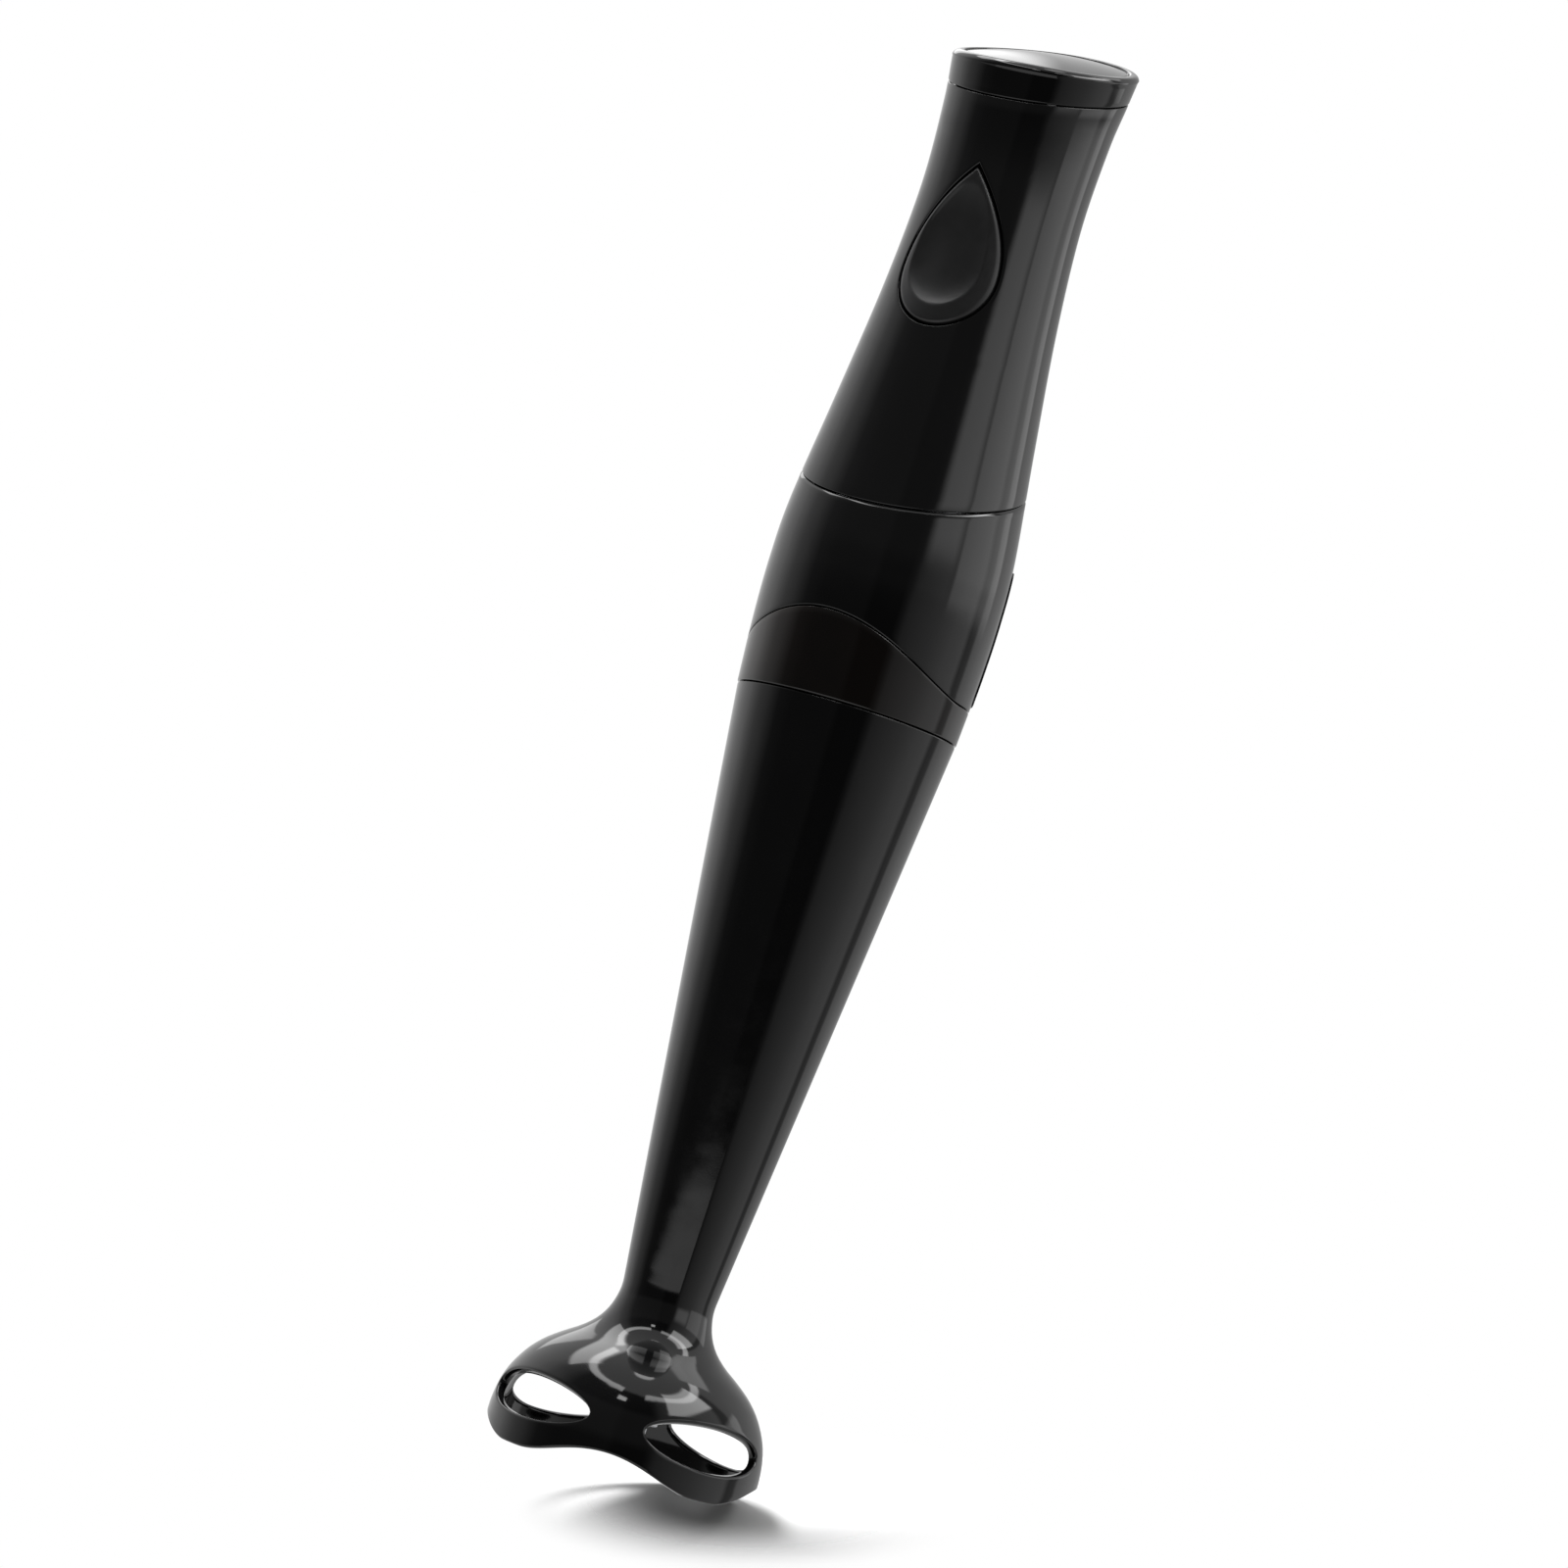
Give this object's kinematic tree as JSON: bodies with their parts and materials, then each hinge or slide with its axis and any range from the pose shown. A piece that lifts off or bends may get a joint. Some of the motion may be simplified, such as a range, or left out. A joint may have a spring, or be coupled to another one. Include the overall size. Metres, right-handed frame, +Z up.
{
  "type": "immersion blender",
  "caption": "Stick blender with a soft thumb button on a waisted grip, a slanted cap, a pull-off tapering shaft and a lobed bell guard round a two-winged blade.",
  "frame": {"origin": "on the axis of the body, level with the lowest points of the guard's lobes", "axes": "+Z up along the body's axis from the guard to the cap, -Y to the front where the thumb button is, +X to the right seen from the front"},
  "size_m": [0.0666, 0.0666, 0.3626],
  "materials": {
    "housing_gloss": "high-gloss injection-moulded black",
    "collar_smoke": "high-gloss smoke-tinted near-black",
    "button_soft": "soft-touch matt",
    "label": "satin black plate, blank",
    "rubber": "matt",
    "nylon": "natural nylon",
    "steel": "brushed",
    "bronze": "sintered",
    "copper": "enamelled copper",
    "ferrite": "ground ferrite",
    "carbon": "moulded black",
    "board": "solder-masked laminate"
  },
  "bodies": {
    "motor_unit": {"cap_rim": "housing_gloss", "cap_inset": "housing_gloss", "grip_shell": "housing_gloss", "button_pivot_pin": "steel", "button_spring": "steel", "switch_chassis": "nylon", "circuit_board": "board", "micro_switch": "carbon", "rectifier": "carbon", "suppression_capacitor": "nylon", "cord_clamp": "nylon", "clamp_screw_1": "steel", "clamp_screw_2": "steel", "cord_gland": "rubber", "motor_housing": "housing_gloss", "rating_plate": "label", "collar": "collar_smoke", "motor_can": "steel", "motor_end_cap": "nylon", "magnet_right": "ferrite", "magnet_left": "ferrite", "brush_right": "carbon", "brush_left": "carbon", "motor_bearing_lower": "bronze", "motor_bearing_upper": "bronze", "motor_mount_lower": "rubber", "motor_mount_upper": "rubber"},
    "button": {"power_button": "button_soft"},
    "plunger": {"switch_plunger": "nylon"},
    "rotor": {"motor_shaft": "steel", "rotor_core": "steel", "rotor_winding_lower": "copper", "rotor_winding_upper": "copper", "commutator": "copper", "cooling_fan": "nylon", "drive_coupling": "nylon"},
    "blending_shaft": {"shaft_and_guard": "housing_gloss", "shaft_seal": "rubber", "lower_bushing": "bronze", "bearing_carrier": "nylon", "upper_bushing": "bronze"},
    "blade_drive": {"drive_shaft": "steel", "driven_coupling": "nylon", "retaining_clip": "steel", "blade_spacer": "steel", "blade": "steel", "blade_nut": "steel"}
  },
  "joints": [
    {"name": "button_press", "type": "hinge", "parent": "motor_unit", "child": "button", "pos_m": [0, -0.013, 0.3185], "axis": [1, 0, 0], "range_deg": [0, 3.5], "stiffness_Nm_per_rad": 0.5, "springref_deg": -3.44, "deforming": ["button_spring"]},
    {"name": "plunger_travel", "type": "slide", "parent": "motor_unit", "child": "plunger", "axis": [0, 1, 0], "range_m": [0, 0.0015]},
    {"name": "motor_spin", "type": "hinge", "parent": "motor_unit", "child": "rotor", "pos_m": [0, 0, 0.227], "axis": [0, 0, 1], "continuous": true},
    {"name": "shaft_release", "type": "slide", "parent": "motor_unit", "child": "blending_shaft", "axis": [0, 0, -1], "range_m": [0, 0.03]},
    {"name": "blade_spin", "type": "hinge", "parent": "blending_shaft", "child": "blade_drive", "pos_m": [0, 0, 0.09], "axis": [0, 0, 1], "continuous": true}
  ],
  "couplings": [
    {"joint": "plunger_travel", "follows": "button_press", "m_per_rad": 0.0234},
    {"joint": "blade_spin", "follows": "motor_spin", "ratio": 1}
  ]
}
